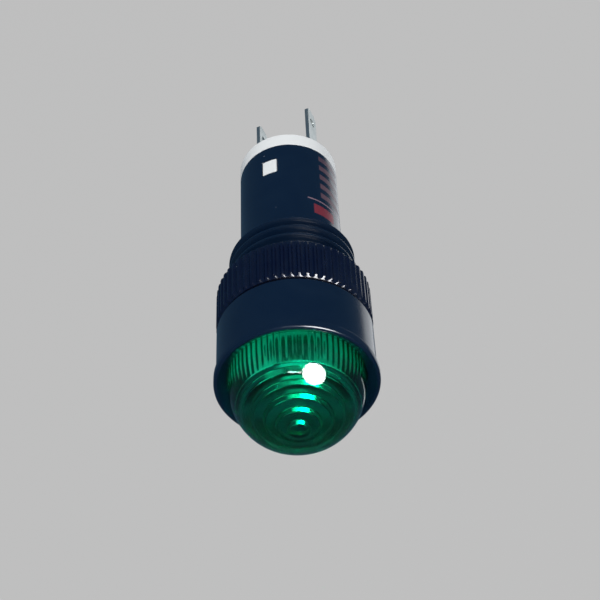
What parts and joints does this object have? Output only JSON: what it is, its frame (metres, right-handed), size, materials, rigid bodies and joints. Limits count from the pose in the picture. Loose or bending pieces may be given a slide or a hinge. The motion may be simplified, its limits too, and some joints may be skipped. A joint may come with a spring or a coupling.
{
  "type": "panel pilot light",
  "caption": "Round LED pilot light for a panel hole: domed green lens in a black bezel, threaded sleeve with ribbed nut, long barrel, white base and blade terminals.",
  "frame": {"origin": "on the lamp's axis, in the plane where the bezel's back meets the panel gasket", "axes": "+Y along the lamp's axis from the lens to the terminals, -Y the way the lens faces, +Z towards the latch window on top, +X to the right seen from the lens"},
  "size_m": [0.0196, 0.0588, 0.0196],
  "materials": {
    "housing_plastic": "satin moulded, near black",
    "nut_plastic": "satin moulded, near black, with a fine grain",
    "lens_green": "clear green moulded lens, polished outside",
    "seal_rubber": "matte",
    "gasket_rubber": "matte",
    "white_plastic": "satin white moulding",
    "led_clear": "water-clear epoxy",
    "tinned_metal": "tin plated, satin",
    "solder": "bright solder",
    "board_green": "solder mask over glass weave",
    "resistor_blue": "lacquered resistor body",
    "chip_black": "moulded epoxy",
    "capacitor_tan": "ceramic"
  },
  "bodies": {
    "lamp": {"housing": "housing_plastic", "lens": "lens_green", "lens_seal": "seal_rubber", "reflector": "white_plastic", "led": "led_clear", "led_anode_lead": "tinned_metal", "led_cathode_lead": "tinned_metal", "circuit_board": "board_green", "resistor_a": "resistor_blue", "resistor_b": "resistor_blue", "rectifier": "chip_black", "capacitor": "capacitor_tan", "surge_diode": "chip_black", "board_solder": "solder", "terminal_base": "white_plastic", "terminal_left": "tinned_metal", "terminal_right": "tinned_metal", "panel_gasket": "gasket_rubber"},
    "nut": {"locknut": "nut_plastic"}
  },
  "joints": [
    {"name": "nut_travel", "type": "slide", "parent": "lamp", "child": "nut", "axis": [0, 1, 0], "range_m": [0, 0.009]}
  ]
}
